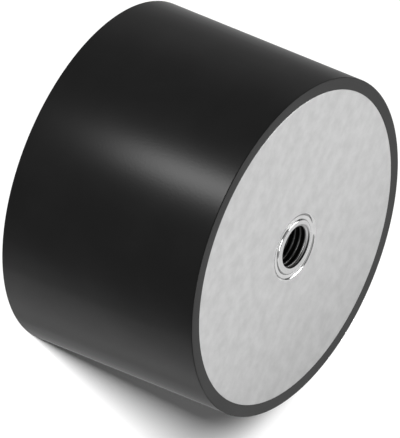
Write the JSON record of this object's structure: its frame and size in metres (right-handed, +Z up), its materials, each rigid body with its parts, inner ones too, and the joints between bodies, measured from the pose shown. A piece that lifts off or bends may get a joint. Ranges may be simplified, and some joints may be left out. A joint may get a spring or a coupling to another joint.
{
  "type": "bobbin vibration mount",
  "caption": "Cylindrical rubber bobbin mount with a flush steel plate and a threaded blind bush in each end, bolted between a machine and its base to isolate vibration.",
  "frame": {"origin": "centre of the bottom end face, the face the mount stands on", "axes": "+Z up along the axis of the cylinder, out of the top threaded hole; +X and +Y across it, with no direction of their own on a round part"},
  "size_m": [0.07, 0.07, 0.045],
  "materials": {
    "rubber": "moulded natural rubber, satin black",
    "plate_steel": "zinc-plated steel, matt light grey",
    "bush_steel": "zinc-plated turned steel, satin"
  },
  "bodies": {
    "root": {"rubber_body": "rubber", "top_plate": "plate_steel", "top_bush": "bush_steel", "bottom_plate": "plate_steel", "bottom_bush": "bush_steel"}
  },
  "joints": []
}
